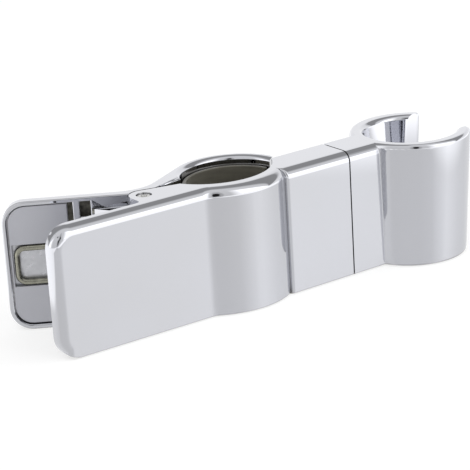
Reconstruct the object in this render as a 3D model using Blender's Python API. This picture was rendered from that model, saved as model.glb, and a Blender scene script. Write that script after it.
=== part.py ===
"""Clip-on slider for a shower rail, with a swivelling cup for the handset.

Two arms are hinged on a steel pin like a clothes peg. Their jaws grip a round rail, and a
double torsion spring between the paddles holds them shut. The front arm runs on past the
rail as a short neck, and the cup's own neck swivels on its end about the arm's long axis.

Frame: origin on the axis of the front jaw's bore, at the underside. +X runs along the arm
to the cup, +Y to the rear lever, +Z up along the rail. The model is at rest, jaws shut.
Lengths are in metres and angles in degrees.
"""
from math import acos, asin, atan2, cos, degrees, pi, radians, sin, sqrt

import bmesh
import bpy
from mathutils import Matrix, Vector

# Clearances
FIT = 0.0003            # between pieces that touch
RUN = 0.0004            # between pieces that move past each other

# Whole body
HEIGHT = 0.035
EDGE_ROUND = 0.0027     # upper edge and free end of the front arm's outer face
FOOT_ROUND = 0.0006     # lower edges
LEVER_ROUND = 0.0012    # upper edge and free end of the lever's outer face
PADDLE_CORNER = 0.0060  # corners of both paddles, seen from the front
PADDLE_RIM = 0.0012     # width of the raised rim round each paddle's inner side
PLATE = 0.0015          # outer skin of each paddle

# Rail and jaws
RAIL_RADIUS = 0.0125
LINER = 0.0010          # thickness of the grip liners
LINER_DROP = 0.0025     # liners stop this far below the upper and above the lower face
LINER_SHORT = 6.5       # how far round the front liner stops short of its jaw's ends
BORE_SPARE = 0.00415    # how much larger the front jaw's bore is than the rail, in radius
FRONT_WALL = 0.0044
JAW_WALL = 0.0030       # rear jaw
JAW_LEAD = 0.0015       # how far in the rear jaw's upper and lower inner edges are rounded

# Front arm
PADDLE_END = -0.0590
PADDLE_FACE = -0.01716  # the paddle's outer face at x = 0, if it ran on
PADDLE_LEAN = 0.02      # how much that face moves back for each unit towards its free end
PADDLE_BLEND = 0.0050   # hollow radius where the paddle meets the jaw
NECK_STEP = 0.0009      # how far the neck stands proud of the jaw; its edge is as round
NECK_Y = -0.0128        # the swivel axis
NECK_THICK = 0.0114
SEAM_X = 0.0325

# Hinge
PIN_X = -0.0267
PIN_Y = -0.0084
PIN_RADIUS = 0.0018
LUG_WALL = 0.0018       # round the pin's hole
LUG_SHOULDER = 0.0012   # hollow radius where the lug stands on the front paddle's rim
LUG_THICK = 0.0030
KNUCKLE_WALL = 0.0024
WEDGE = 15.0            # slope of the front arm's back edge from the lug to the bore

# Rear lever, at rest
SPREAD = 32.1           # angle between the rear paddle and the arm's long axis
LEVER_END = 0.0370      # from the pin to the paddle's free end
WAIST_RADIUS = 0.0105   # hollow outside, behind the pin
JAW_X = 0.0011          # middle of the rear jaw
JAW_Y = -0.00875
JAW_SLOPE = 28.5        # slope of the straight run from waist to jaw
HEEL_REACH = 0.0045     # how far the lever's inner face runs beside the front arm's
ROOT_ANGLE = 155.0      # where the rear jaw's bore begins, round its own middle
TIP_LEAN = 7.0          # how far round the slanted end face at the jaw's tip runs

# Panels and spring
PANEL = 0.0012          # thickness of the panels inside the paddles
RIM_STEP = 0.0007       # how far the paddles' rims stand above the panels
RECESS_STOP = 0.0022    # solid left between the front paddle's hollow and the lugs
REAR_RECESS = 0.0185    # how far from the free end the rear paddle is hollow
PANEL_GAP = 0.0015      # between the rear panel's end and the rib
RIB = 0.0020
POCKET = 0.0026         # width of the two pockets past the rib
POCKET_WALL = 0.0021    # between those pockets and the channel for the spring's loop
WIRE_RADIUS = 0.00075
COIL_TURNS = 2
COIL_GAP = 0.0002       # between one turn and the next
COIL_SIDE = 0.0011      # between the coils and the knuckles
LOOP_HALF = 0.00465     # half the height of the spring's middle loop
LOOP_INSET = 0.0023     # from the rear paddle's free end to the loop
LOOP_BEND = 0.0021
LEG_REACH = 0.0195      # from the pin to the ends of the spring's legs

# Handset cup
HOLDER_NECK = 0.0095    # from the seam to the cup's side
CUP_BLEND = 0.0003      # hollow radius where that neck meets the cup
CUP_LEAN = 0.0006       # how far the cup's foot stands back towards the neck
CUP_TOP_WALL = 0.0040
CUP_FOOT_WALL = 0.0042
SEAT_TOP_RADIUS = 0.0128
SEAT_FOOT_RADIUS = 0.0113
LEAD_ROUND = 0.0015     # rounded lead-in above the seat
MOUTH_HALF = 0.0100     # half the width of the cup's mouth
MOUTH_CORNER = 0.0036   # rounding at the foot of the cup's two ends
CUP_ROUND = 0.0012      # rounding of the cup's outer edges

# Swivel
SPIGOT_RADIUS = 0.0034
SCREW_RADIUS = 0.0020
SCREW_SHORT = 0.0010    # the screw stops this far short of the insert's end
HEAD_RADIUS = 0.0036
HEAD_THICK = 0.0023
KEY_RADIUS = 0.0015     # from the middle of the screw's hexagon socket to its corners
KEY_DEPTH = 0.0013
RING_WIDTH = 0.0010
RING_THICK = 0.0009
INSERT_RADIUS = 0.0033
INSERT_LENGTH = 0.0060
INSERT_WALL = 0.0040    # between the rail's bore and the insert
FLAT_THICK = 0.0008
WAVE_THICK = 0.0007     # height over its waves
WAVE_SHEET = 0.0003
CAP_THICK = 0.0010

# Worked out from the sizes above
MID = HEIGHT / 2
BORE_RADIUS = RAIL_RADIUS + BORE_SPARE
BULGE_RADIUS = BORE_RADIUS + FRONT_WALL
JAW_INNER = RAIL_RADIUS + LINER + FIT
JAW_OUTER = JAW_INNER + JAW_WALL
PIN = Vector((PIN_X, PIN_Y))
JAW = Vector((JAW_X, JAW_Y)) - PIN      # middle of the rear jaw, seen from the pin
NECK_FACE = NECK_Y - NECK_THICK / 2
NECK_BACK = NECK_Y + NECK_THICK / 2
TIP_ANGLE = degrees(asin((NECK_BACK + RUN - JAW_Y) / JAW_INNER))    # jaw tip's inner corner
PADDLE_DEPTH = PLATE + FIT + PANEL + RIM_STEP
LUG_RADIUS = PIN_RADIUS + FIT + LUG_WALL
KNUCKLE_RADIUS = PIN_RADIUS + FIT + KNUCKLE_WALL
KNUCKLE_FOOT = LUG_THICK + RUN
HEEL_RADIUS = LUG_RADIUS + RUN          # the lever's inner face passes the lugs here
COIL_RADIUS = PIN_RADIUS + FIT + WIRE_RADIUS
LEVER_OFFSET = COIL_RADIUS + WIRE_RADIUS + FIT + PLATE  # pin to the rear paddle's outer face
LOOP_REACH = LEVER_END - LOOP_INSET - WIRE_RADIUS
FRONT_RECESS = PIN_X - LUG_RADIUS - LUG_SHOULDER - RECESS_STOP - PADDLE_END
CUP_TOP_RADIUS = SEAT_TOP_RADIUS + CUP_TOP_WALL
CUP_FOOT_RADIUS = SEAT_FOOT_RADIUS + CUP_FOOT_WALL
CUP_X = SEAM_X + HOLDER_NECK + CUP_TOP_RADIUS
RING_RADIUS = SPIGOT_RADIUS + FIT + RING_WIDTH
HEAD_BORE = HEAD_RADIUS + 2 * RUN


def material(name, colour, roughness, metallic):
    """A plain Principled material."""
    result = bpy.data.materials.new(name)
    result.use_nodes = True
    shader = result.node_tree.nodes["Principled BSDF"]
    shader.inputs["Base Color"].default_value = (*colour, 1.0)
    shader.inputs["Roughness"].default_value = roughness
    shader.inputs["Metallic"].default_value = metallic
    result.diffuse_color = (*colour, 1.0)
    return result


def add_object(name, bm, finish, location=(0.0, 0.0, 0.0), sharp=30.0):
    """Turn a bmesh into an object with its faces pointing out and round faces smooth."""
    bmesh.ops.recalc_face_normals(bm, faces=bm.faces)
    mesh = bpy.data.meshes.new(name)
    bm.to_mesh(mesh)
    bm.free()
    mesh.shade_smooth()
    mesh.set_sharp_from_angle(angle=radians(sharp))
    result = bpy.data.objects.new(name, mesh)
    result.location = location
    bpy.context.scene.collection.objects.link(result)
    if finish:
        mesh.materials.append(finish)
    return result


def polar(radius, angle, centre=(0.0, 0.0)):
    """The plan point at an angle, in degrees, round a centre."""
    turn = radians(angle)
    return Vector((centre[0] + radius * cos(turn), centre[1] + radius * sin(turn)))


def arc(centre, radius, start, end, steps):
    """Plan points along an arc, both ends included."""
    return [polar(radius, start + (end - start) * k / steps, centre) for k in range(steps + 1)]


def edge_steps(radius, count):
    """Distances in from an edge at which a quarter-round edge is divided evenly."""
    return [radius * (1 - cos(k * pi / 2 / count)) for k in range(count + 1)]


def round_depth(distance, radius):
    """How far a quarter-round edge falls back at a distance in from that edge."""
    if distance >= radius:
        return 0.0
    return radius - sqrt(radius ** 2 - (radius - distance) ** 2)


def corner_shift(inward, down, radius):
    """Bend a square corner round: distances from the end and the edge, before and after."""
    if inward >= radius or down >= radius:
        return inward, down
    depth = min(inward, down)
    along = max(inward, down)
    turn = pi / 4 * (radius - along) / (radius - depth)
    near = radius - (radius - depth) * cos(turn)
    far = radius - (radius - depth) * sin(turn)
    return (near, far) if inward <= down else (far, near)


def loft(rings, paired=0):
    """Join rings of points that lie one above the other, and close both ends.

    The first and last points of a ring face each other across a paddle's end. That many of
    them, given by paired, are closed by quads, because the end's upper edge isn't flat.
    """
    bm = bmesh.new()
    rows = [[bm.verts.new(point) for point in ring] for ring in rings]
    count = len(rows[0])
    for low, high in zip(rows, rows[1:]):
        for k in range(count):
            following = (k + 1) % count
            bm.faces.new((low[k], low[following], high[following], high[k]))
    for row in (rows[0], rows[-1]):
        for k in range(paired):
            bm.faces.new((row[k], row[k + 1], row[count - 2 - k], row[count - 1 - k]))
        bm.faces.new(row[paired:count - paired])
    return bm


def prism(outline, low, high):
    """A plan outline given height."""
    return loft([[(p[0], p[1], z) for p in outline] for z in (low, high)])


def turned(profile, steps=32):
    """A closed profile of (radius, height) points turned round the Z axis."""
    bm = bmesh.new()
    rows = []
    for k in range(steps):
        turn = 2 * pi * k / steps
        rows.append([bm.verts.new((r * cos(turn), r * sin(turn), z)) for r, z in profile])
    for k in range(steps):
        here, there = rows[k], rows[(k + 1) % steps]
        for j in range(len(profile)):
            following = (j + 1) % len(profile)
            bm.faces.new((here[j], there[j], there[following], here[following]))
    return bm


def rod(radius, low, high, steps=32):
    """A plain cylinder on the Z axis."""
    return prism([polar(radius, 360 * k / steps) for k in range(steps)], low, high)


def lay_along_x(bm, x, y=NECK_Y, z=MID):
    """Turn a shape made on the Z axis so that its axis runs along X, and place it."""
    for vert in bm.verts:
        vert.co = Vector((x + vert.co.z, y + vert.co.x, z + vert.co.y))
    return bm


def combine(target, bm, operation):
    """Cut a shape out of an object or join it on, then drop the shape."""
    tool = add_object(target.name + "_tool", bm, None, target.location)
    tool.hide_render = True
    tool.display_type = "WIRE"
    step = target.modifiers.new("shape", "BOOLEAN")
    step.operation = operation
    step.object = tool
    step.solver = "EXACT"
    bpy.context.view_layer.update()
    graph = bpy.context.evaluated_depsgraph_get()
    shaped = bpy.data.meshes.new_from_object(target.evaluated_get(graph))
    target.modifiers.remove(step)
    old = target.data
    target.data = shaped
    bpy.data.meshes.remove(old)
    bpy.data.objects.remove(tool)
    shaped.name = target.name


def corner_steps(edge, count):
    """Distances in from an edge: evenly round that edge, then evenly to the corner's end."""
    flat = PADDLE_CORNER - edge
    return edge_steps(edge, count) + [edge + flat * k / 4 for k in range(1, 5)]


def paddle_levels(edge):
    """Heights at which a paddle's outline is drawn, close together near its edges."""
    upper = corner_steps(edge, 6)
    return corner_steps(FOOT_ROUND, 2) + [HEIGHT - step for step in reversed(upper)]


def paddle_steps(edge):
    """Distances from the free end at which a paddle's outline has its points."""
    return corner_steps(edge, 6)


def edge_fall(level, from_end, edge):
    """How far the outer face falls back at a height and a distance from the free end."""
    return max(round_depth(HEIGHT - level, edge), round_depth(level, FOOT_ROUND),
               round_depth(from_end, edge))


def round_corners(inward, level):
    """Distance from the free end and height of a point once the corners are round."""
    if level > MID:
        inward, down = corner_shift(inward, HEIGHT - level, PADDLE_CORNER)
        return inward, HEIGHT - down
    return corner_shift(inward, level, PADDLE_CORNER)


def paddle_face(x):
    """The y of the front paddle's outer face."""
    return PADDLE_FACE - PADDLE_LEAN * x


def front_path(fall):
    """The front arm's outer face in plan, from free end to seam, set back by a fall."""
    points = [Vector((PADDLE_END + s, paddle_face(PADDLE_END + s) + fall))
              for s in paddle_steps(EDGE_ROUND)]
    # hollow blend between paddle and jaw: its middle is one blend radius off both
    bulge = BULGE_RADIUS - fall
    blend = PADDLE_BLEND + fall
    middle = Vector((0.0, 0.0))
    for _ in range(12):
        middle.y = paddle_face(middle.x) + fall - blend
        middle.x = -sqrt((bulge + blend) ** 2 - middle.y ** 2)
    onto_jaw = degrees(atan2(middle.y, middle.x))
    points += arc(middle, blend, 90.0, onto_jaw + 180.0, 8)
    # the neck starts with a rounded step out of the jaw
    neck = NECK_FACE + fall
    foot = neck + NECK_STEP
    meet = sqrt(bulge ** 2 - foot ** 2)
    points += arc((0.0, 0.0), bulge, onto_jaw, degrees(atan2(foot, meet)), 22)[1:-1]
    points += arc((meet + NECK_STEP, foot), NECK_STEP, 180.0, 270.0, 5)
    points.append(Vector((SEAM_X, neck)))
    return points


def bore_ends():
    """Where round the front bore its wall ends: at the neck, and at the slope from the lugs."""
    start = polar(LUG_RADIUS, 90.0 - WEDGE, PIN)
    way = polar(1.0, -WEDGE)
    half = start.dot(way)
    length = -half - sqrt(half ** 2 - start.length_squared + BORE_RADIUS ** 2)
    meet = start + way * length
    return degrees(asin(NECK_BACK / BORE_RADIUS)), degrees(atan2(meet.y, meet.x))


def back_path():
    """The front arm's inner outline in plan, from the seam back to the free end."""
    points = [Vector((SEAM_X, NECK_BACK))]
    points += arc((0.0, 0.0), BORE_RADIUS, *bore_ends(), 30)
    points += arc(PIN, LUG_RADIUS, 90.0 - WEDGE, 180.0, 6)
    rim = paddle_face(PIN_X - LUG_RADIUS) + PADDLE_DEPTH
    foot = Vector((PIN_X - LUG_RADIUS - LUG_SHOULDER, rim + LUG_SHOULDER))
    points += arc(foot, LUG_SHOULDER, 0.0, -90.0, 3)
    for s in reversed(paddle_steps(EDGE_ROUND)):
        points.append(Vector((PADDLE_END + s, paddle_face(PADDLE_END + s) + PADDLE_DEPTH)))
    return points


def panel_outline(reach, margin, corner):
    """Front view of a paddle's recess or panel, from its free end: (inward, height)."""
    low, high = margin, HEIGHT - margin
    middle_in = margin + corner
    lower = arc((middle_in, low + corner), corner, 270.0, 180.0, 6)
    upper = arc((middle_in, high - corner), corner, 180.0, 90.0, 6)
    return [Vector((reach, low))] + lower + upper + [Vector((reach, high))]


def standing_prism(outline, place):
    """A front-view outline given thickness; place turns (inward, height, side) into a point."""
    return loft([[place(p[0], p[1], side) for p in outline] for side in (0, 1)])


def front_place(near, far):
    """Places front-view points between two depths behind the front paddle's face."""
    def place(inward, height, side):
        x = PADDLE_END + inward
        return (x, paddle_face(x) + (near, far)[side], height)
    return place


def seat_radius(level):
    """Radius of the cup's seat at a height: a slow taper, with a rounded lead-in at the top."""
    taper = SEAT_FOOT_RADIUS + (SEAT_TOP_RADIUS - SEAT_FOOT_RADIUS) * level / HEIGHT
    return taper + round_depth(HEIGHT - level, LEAD_ROUND)


def front_rest():
    """Where a spring leg ends, seen from the pin: lying on the front paddle's panel."""
    panel_top = paddle_face(PIN_X - LEG_REACH) + PLATE + FIT + PANEL
    return Vector((-LEG_REACH, panel_top + FIT + WIRE_RADIUS - PIN_Y))


# The spring winds from its loop on the rear paddle round to its legs on the front one
REST = front_rest()
LEG_ANGLE = degrees(atan2(REST.y, REST.x) + acos(COIL_RADIUS / REST.length))
COIL_TURN = 90.0 - SPREAD - LEG_ANGLE + 360.0 * COIL_TURNS
COIL_RISE = (2 * WIRE_RADIUS + COIL_GAP) * COIL_TURN / 360.0
KNUCKLE_TOP = MID - LOOP_HALF - COIL_RISE - WIRE_RADIUS - COIL_SIDE

# The swivel's stack along X, from the cup's inside back to the shoulder it pulls on
CAP_X = CUP_X - CUP_LEAN - seat_radius(MID + HEAD_BORE) - CAP_THICK
HEAD_X = CAP_X - FIT - HEAD_THICK
WAVE_X = HEAD_X - FIT - WAVE_THICK
FLAT_X = WAVE_X - FIT - FLAT_THICK
SHOULDER_X = FLAT_X - RUN
INSERT_X = sqrt(BORE_RADIUS ** 2 - (NECK_Y + INSERT_RADIUS + FIT) ** 2) + INSERT_WALL
SPIGOT_X = INSERT_X + INSERT_LENGTH + 2 * FIT
SCREW_TIP_X = INSERT_X - FIT + SCREW_SHORT


def make_front_arm(finish):
    """Paddle, front jaw, hinge lugs and neck: one chromed moulding."""
    steps = paddle_steps(EDGE_ROUND)
    inner = back_path()
    rings = []
    for level in paddle_levels(EDGE_ROUND):
        outer = front_path(edge_fall(level, PADDLE_CORNER, EDGE_ROUND))
        for k, s in enumerate(steps):
            outer[k].y = paddle_face(outer[k].x) + edge_fall(level, s, EDGE_ROUND)
        ring = []
        for point in outer + inner:
            inward, height = round_corners(point.x - PADDLE_END, level)
            ring.append((PADDLE_END + inward, point.y, height))
        rings.append(ring)
    arm = add_object("front_arm", loft(rings, paired=len(steps) - 1), finish)
    recess = panel_outline(FRONT_RECESS, PADDLE_RIM, PADDLE_CORNER - PADDLE_RIM)
    combine(arm, standing_prism(recess, front_place(PLATE, HEIGHT)), "DIFFERENCE")
    # room for knuckles, coils and spring legs between the two lugs
    room = KNUCKLE_RADIUS + RUN
    floor = paddle_face(PADDLE_END) + PLATE + FIT + PANEL
    foot, opening = -110.0, 60.0
    outline = [Vector((PADDLE_END + FRONT_RECESS - PLATE, floor))]
    outline += arc(PIN, room, foot, opening, 16)
    outline += [polar(4 * room, opening, PIN), Vector((PADDLE_END, 4 * room))]
    combine(arm, prism(outline, LUG_THICK, HEIGHT - LUG_THICK), "DIFFERENCE")
    hole = [polar(PIN_RADIUS + FIT, 15 * k, PIN) for k in range(24)]
    combine(arm, prism(hole, -FIT, HEIGHT + FIT), "DIFFERENCE")
    # stepped bore on the swivel axis: friction ring, spigot, insert, end of the screw
    bores = ((RING_RADIUS + FIT, SEAM_X - RING_THICK - FIT),
             (SPIGOT_RADIUS + RUN, SPIGOT_X - FIT),
             (INSERT_RADIUS + FIT, INSERT_X - FIT),
             (SCREW_RADIUS + FIT, INSERT_X - SCREW_SHORT))
    for radius, bottom in bores:
        cutter = lay_along_x(rod(radius, bottom, SEAM_X + PLATE), 0.0)
        combine(arm, cutter, "DIFFERENCE")
    return arm


WAY = polar(1.0, 180.0 - SPREAD)    # from the pin to the rear paddle's free end
OUT = polar(1.0, 90.0 - SPREAD)     # square to that, out through the paddle


def lever_point(along, out):
    """A plan point, seen from the pin, by its distances along and out from the paddle."""
    return WAY * along + OUT * out


def lever_path(fall):
    """The lever's outer face in plan, from free end to jaw tip, set back by a fall."""
    points = [lever_point(LEVER_END - s, LEVER_OFFSET - fall) for s in paddle_steps(LEVER_ROUND)]
    # the waist's middle is one waist radius off the paddle's face and off the sloping run
    square = polar(1.0, 90.0 + JAW_SLOPE)
    waist = WAIST_RADIUS + fall
    off_paddle = LEVER_OFFSET - fall + waist
    off_slope = square.dot(JAW) + JAW_OUTER - fall + waist
    area = OUT.x * square.y - OUT.y * square.x
    middle = Vector(((off_paddle * square.y - off_slope * OUT.y) / area,
                     (off_slope * OUT.x - off_paddle * square.x) / area))
    points += arc(middle, waist, 270.0 - SPREAD, 270.0 + JAW_SLOPE, 10)
    points += arc(JAW, JAW_OUTER - fall, 90.0 + JAW_SLOPE, TIP_ANGLE + TIP_LEAN, 20)
    return points


def lever_back(level):
    """The lever's inner outline in plan, from jaw tip back to the free end."""
    lead = JAW_LEAD * max(round_depth(HEIGHT - level, LEVER_ROUND) / LEVER_ROUND,
                          round_depth(level, FOOT_ROUND) / FOOT_ROUND)
    points = arc(JAW, JAW_INNER + lead, TIP_ANGLE, ROOT_ANGLE, 22)
    points.append(polar(HEEL_RADIUS, 90.0 - WEDGE) + polar(HEEL_REACH, -WEDGE))
    rim = LEVER_OFFSET - PADDLE_DEPTH
    end = 90.0 - SPREAD + degrees(acos(rim / HEEL_RADIUS))
    points += arc((0.0, 0.0), HEEL_RADIUS, 90.0 - WEDGE, end, 5)
    points += [lever_point(LEVER_END - s, rim) for s in reversed(paddle_steps(LEVER_ROUND))]
    return points


def lever_place(near, far):
    """Places front-view points between two depths behind the rear paddle's face."""
    def place(inward, height, side):
        point = lever_point(LEVER_END - inward, LEVER_OFFSET - (near, far)[side])
        return (point.x, point.y, height)
    return place


def box_outline(start, end, low, high):
    """A plain rectangle in front view."""
    return [Vector((start, low)), Vector((start, high)), Vector((end, high)), Vector((end, low))]


def make_rear_lever(finish):
    """Paddle, knuckles and rear jaw: one chromed moulding, made about the pin."""
    steps = paddle_steps(LEVER_ROUND)
    rings = []
    for level in paddle_levels(LEVER_ROUND):
        outer = lever_path(edge_fall(level, PADDLE_CORNER, LEVER_ROUND))
        for k, s in enumerate(steps):
            fall = edge_fall(level, s, LEVER_ROUND)
            outer[k] = lever_point(LEVER_END - s, LEVER_OFFSET - fall)
        ring = []
        for point in outer + lever_back(level):
            before = LEVER_END - point.dot(WAY)
            inward, height = round_corners(before, level)
            moved = point + WAY * (before - inward)
            ring.append((moved.x, moved.y, height))
        rings.append(ring)
    lever = add_object("rear_lever", loft(rings, paired=len(steps) - 1), finish,
                       (PIN_X, PIN_Y, 0.0))
    # hollow, with a channel for the spring's loop from there to the coils
    low, high = KNUCKLE_TOP + RUN, HEIGHT - KNUCKLE_TOP - RUN
    recess = panel_outline(REAR_RECESS, PADDLE_RIM, PADDLE_CORNER - PADDLE_RIM)
    recess += [Vector((REAR_RECESS, high)), Vector((LEVER_END, high)),
               Vector((LEVER_END, low)), Vector((REAR_RECESS, low))]
    combine(lever, standing_prism(recess, lever_place(PLATE, HEIGHT)), "DIFFERENCE")
    for start, end in ((PADDLE_RIM, low - POCKET_WALL), (high + POCKET_WALL, HEIGHT - PADDLE_RIM)):
        pocket = box_outline(REAR_RECESS + RIB, REAR_RECESS + RIB + POCKET, start, end)
        combine(lever, standing_prism(pocket, lever_place(PLATE, HEIGHT)), "DIFFERENCE")
    # each knuckle is a ring round the pin on a web that runs out along the paddle
    web_reach = LEVER_END - REAR_RECESS - RIB - POCKET - RUN
    root = lever_point(web_reach, LEVER_OFFSET - PADDLE_DEPTH + FIT)
    reach = degrees(atan2(root.y, root.x)) + degrees(acos(KNUCKLE_RADIUS / root.length))
    web = [lever_point(web_reach, LEVER_OFFSET - PLATE), root]
    web += arc((0.0, 0.0), KNUCKLE_RADIUS, reach, 450.0 - WEDGE, 18)
    web.append(polar(KNUCKLE_RADIUS + FIT, 90.0 - WEDGE))
    hole = [polar(PIN_RADIUS + FIT, 15 * k) for k in range(24)]
    for foot in (KNUCKLE_FOOT, HEIGHT - KNUCKLE_TOP):
        combine(lever, prism(web, foot, foot + KNUCKLE_TOP - KNUCKLE_FOOT), "UNION")
    combine(lever, prism(hole, 0.0, HEIGHT), "DIFFERENCE")
    return lever


def make_front_panel(finish):
    """Flat plastic panel glued into the hollow of the front paddle."""
    margin = PADDLE_RIM + FIT
    outline = panel_outline(FRONT_RECESS - FIT, margin, PADDLE_CORNER - margin)
    shape = standing_prism(outline, front_place(PLATE + FIT, PLATE + FIT + PANEL))
    return add_object("front_inner_panel", shape, finish)


def make_rear_panel(finish, lever):
    """The rear paddle's panel, cut out round the spring's loop."""
    margin = PADDLE_RIM + FIT
    outline = panel_outline(REAR_RECESS - PANEL_GAP, margin, PADDLE_CORNER - margin)
    shape = standing_prism(outline, lever_place(PLATE + FIT, PLATE + FIT + PANEL))
    panel = add_object("rear_inner_panel", shape, finish)
    half = LOOP_HALF + WIRE_RADIUS + FIT
    start = LEVER_END - LOOP_REACH - WIRE_RADIUS - FIT
    slot = box_outline(start, LEVER_END, MID - half, MID + half)
    combine(panel, standing_prism(slot, lever_place(0.0, HEIGHT)), "DIFFERENCE")
    panel.parent = lever
    return panel


def strip(centre, radius, start, end, steps):
    """A liner: a curved strip of the liners' thickness inside a radius."""
    outline = arc(centre, radius, start, end, steps)
    outline += arc(centre, radius - LINER, end, start, steps)
    return prism(outline, LINER_DROP, HEIGHT - LINER_DROP)


def make_liners(finish, lever):
    """Soft grip liners glued into the two jaws."""
    margin = degrees(2 * FIT / JAW_INNER)
    rear = strip(JAW, JAW_INNER - FIT, TIP_ANGLE + margin, ROOT_ANGLE - margin, 24)
    rear_liner = add_object("rear_grip_liner", rear, finish)
    rear_liner.parent = lever
    first, last = bore_ends()
    front = strip((0.0, 0.0), BORE_RADIUS - FIT, first - LINER_SHORT, last + LINER_SHORT, 20)
    return add_object("front_grip_liner", front, finish), rear_liner


def make_hinge_pin(finish):
    """Steel pin, pressed through the lugs and both knuckles, with chamfered ends."""
    chamfer = FIT
    bm = bmesh.new()
    length = HEIGHT - 2 * FIT
    bmesh.ops.create_cone(bm, cap_ends=True, segments=24, radius1=PIN_RADIUS,
                          radius2=PIN_RADIUS, depth=length)
    ends = [edge for edge in bm.edges if abs(edge.verts[0].co.z - edge.verts[1].co.z) < FIT]
    bmesh.ops.bevel(bm, geom=ends, offset=chamfer, segments=1, affect="EDGES")
    return add_object("hinge_pin", bm, finish, (PIN_X, PIN_Y, MID))


def sweep(path, radius, sides):
    """A wire of constant radius along a path of points."""
    rings = []
    side = Vector((0.0, 0.0, 1.0))
    for k, point in enumerate(path):
        before = path[max(k - 1, 0)]
        after = path[min(k + 1, len(path) - 1)]
        way = (after - before).normalized()
        side = (side - way * side.dot(way)).normalized()
        up = way.cross(side)
        rings.append([point + (side * cos(2 * pi * j / sides) + up * sin(2 * pi * j / sides))
                      * radius for j in range(sides)])
    return loft(rings)


def make_spring(finish):
    """Double torsion spring: a loop on the rear paddle, two coils, two legs on the front."""
    half = []
    # upper half of the loop, from its middle round the bend
    for k in range(5):
        angle = k * pi / 8
        along = LOOP_REACH - LOOP_BEND * (1 - cos(angle))
        rise = LOOP_HALF - LOOP_BEND * (1 - sin(angle))
        flat = lever_point(along, COIL_RADIUS)
        half.append(Vector((flat.x, flat.y, rise)))
    steps = 14 * COIL_TURNS + 6
    for k in range(steps + 1):
        flat = polar(COIL_RADIUS, 90.0 - SPREAD - COIL_TURN * k / steps)
        half.append(Vector((flat.x, flat.y, LOOP_HALF + COIL_RISE * k / steps)))
    half.append(Vector((REST.x, REST.y, LOOP_HALF + COIL_RISE)))
    mirrored = [Vector((p.x, p.y, -p.z)) for p in reversed(half)]
    return add_object("torsion_spring", sweep(mirrored + half, WIRE_RADIUS, 8), finish,
                      (PIN_X, PIN_Y, MID), sharp=60.0)


def cup_centre(level):
    """Middle of the cup in plan at a height: the cup leans out a little."""
    return Vector((CUP_X - CUP_LEAN * (1 - level / HEIGHT), NECK_Y))


def cup_radius(level):
    """Outer radius of the cup at a height."""
    taper = CUP_FOOT_RADIUS + (CUP_TOP_RADIUS - CUP_FOOT_RADIUS) * level / HEIGHT
    return taper - max(round_depth(HEIGHT - level, CUP_ROUND), round_depth(level, FOOT_ROUND))


def cup_end(level, radius, seat):
    """Plan points round the end of the cup's rear wall, seen from the cup's middle.

    They run from the seat out along the end face and round its outer corner.
    """
    back = degrees(round_depth(level, MOUTH_CORNER) / radius)
    inner = polar(seat, degrees(asin(MOUTH_HALF / seat)) + back)
    turn = degrees(asin(MOUTH_HALF / radius)) + back
    corner = polar(radius, turn)
    # the corner is sharp, so its rounding reaches twice its radius along both sides, but
    # near the top the end face is too narrow for that
    reach = min(2 * CUP_ROUND, 0.7 * (inner - corner).length)
    start = corner + (inner - corner).normalized() * reach
    end = polar(radius, turn + degrees(reach / radius))
    curve = [inner]
    for k in range(6):
        share = k / 5
        curve.append(start * (1 - share) ** 2 + corner * 2 * share * (1 - share)
                     + end * share ** 2)
    return curve


def cup_ring(level):
    """The holder's plan outline at a height: neck, cup and the cup's open mouth."""
    radius = cup_radius(level)
    seat = seat_radius(level)
    centre = cup_centre(level)
    face = SEAM_X + RUN
    fall = max(round_depth(HEIGHT - level, EDGE_ROUND), round_depth(level, FOOT_ROUND))
    half = NECK_THICK / 2
    # hollow blends between neck and cup, in front and behind
    blends = []
    for depth in (half - fall, half):
        across = depth + CUP_BLEND
        along = sqrt((radius + CUP_BLEND) ** 2 - across ** 2)
        blends.append((along, across, degrees(asin(across / (radius + CUP_BLEND)))))
    rear_end = cup_end(level, radius, seat)
    front_end = [Vector((p.x, -p.y)) for p in reversed(rear_end)]
    last = degrees(atan2(rear_end[-1].y, rear_end[-1].x))
    first = degrees(atan2(rear_end[0].y, rear_end[0].x))
    along, across, turn = blends[0]
    points = [Vector((face, NECK_Y - half + fall))]
    points += arc(centre - Vector((along, across)), CUP_BLEND, 90.0, turn, 3)
    points += arc(centre, radius, 180.0 + turn, 360.0 - last, 22)[1:-1]
    points += [centre + p for p in front_end]
    points += arc(centre, seat, 360.0 - first, first, 40)[1:-1]
    points += [centre + p for p in rear_end]
    along, across, turn = blends[1]
    points += arc(centre, radius, last, 180.0 - turn, 22)[1:]
    points += arc(centre + Vector((-along, across)), CUP_BLEND, -turn, -90.0, 3)[1:]
    points.append(Vector((face, NECK_Y + half)))
    return [(p.x, p.y, level) for p in points]


def make_holder(finish):
    """Neck, spigot and tapered cup with an open mouth: one chromed moulding."""
    lower = edge_steps(FOOT_ROUND, 2) + edge_steps(MOUTH_CORNER, 5)[2:]
    upper = edge_steps(EDGE_ROUND, 5) + edge_steps(CUP_ROUND, 4)[1:] + [LEAD_ROUND]
    levels = sorted(set(lower + [HEIGHT - step for step in upper]))
    holder = add_object("handset_holder", loft([cup_ring(level) for level in levels]), finish)
    spigot = lay_along_x(rod(SPIGOT_RADIUS, SPIGOT_X, SEAM_X + PLATE), 0.0)
    combine(holder, spigot, "UNION")
    bore = lay_along_x(rod(SCREW_RADIUS + RUN, SPIGOT_X - FIT, SHOULDER_X + PLATE), 0.0)
    combine(holder, bore, "DIFFERENCE")
    combine(holder, lay_along_x(rod(HEAD_BORE, SHOULDER_X, CUP_X), 0.0), "DIFFERENCE")
    # the swivel turns on this origin
    holder.data.transform(Matrix.Translation((-SEAM_X, -NECK_Y, -MID)))
    holder.location = (SEAM_X, NECK_Y, MID)
    return holder


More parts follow.
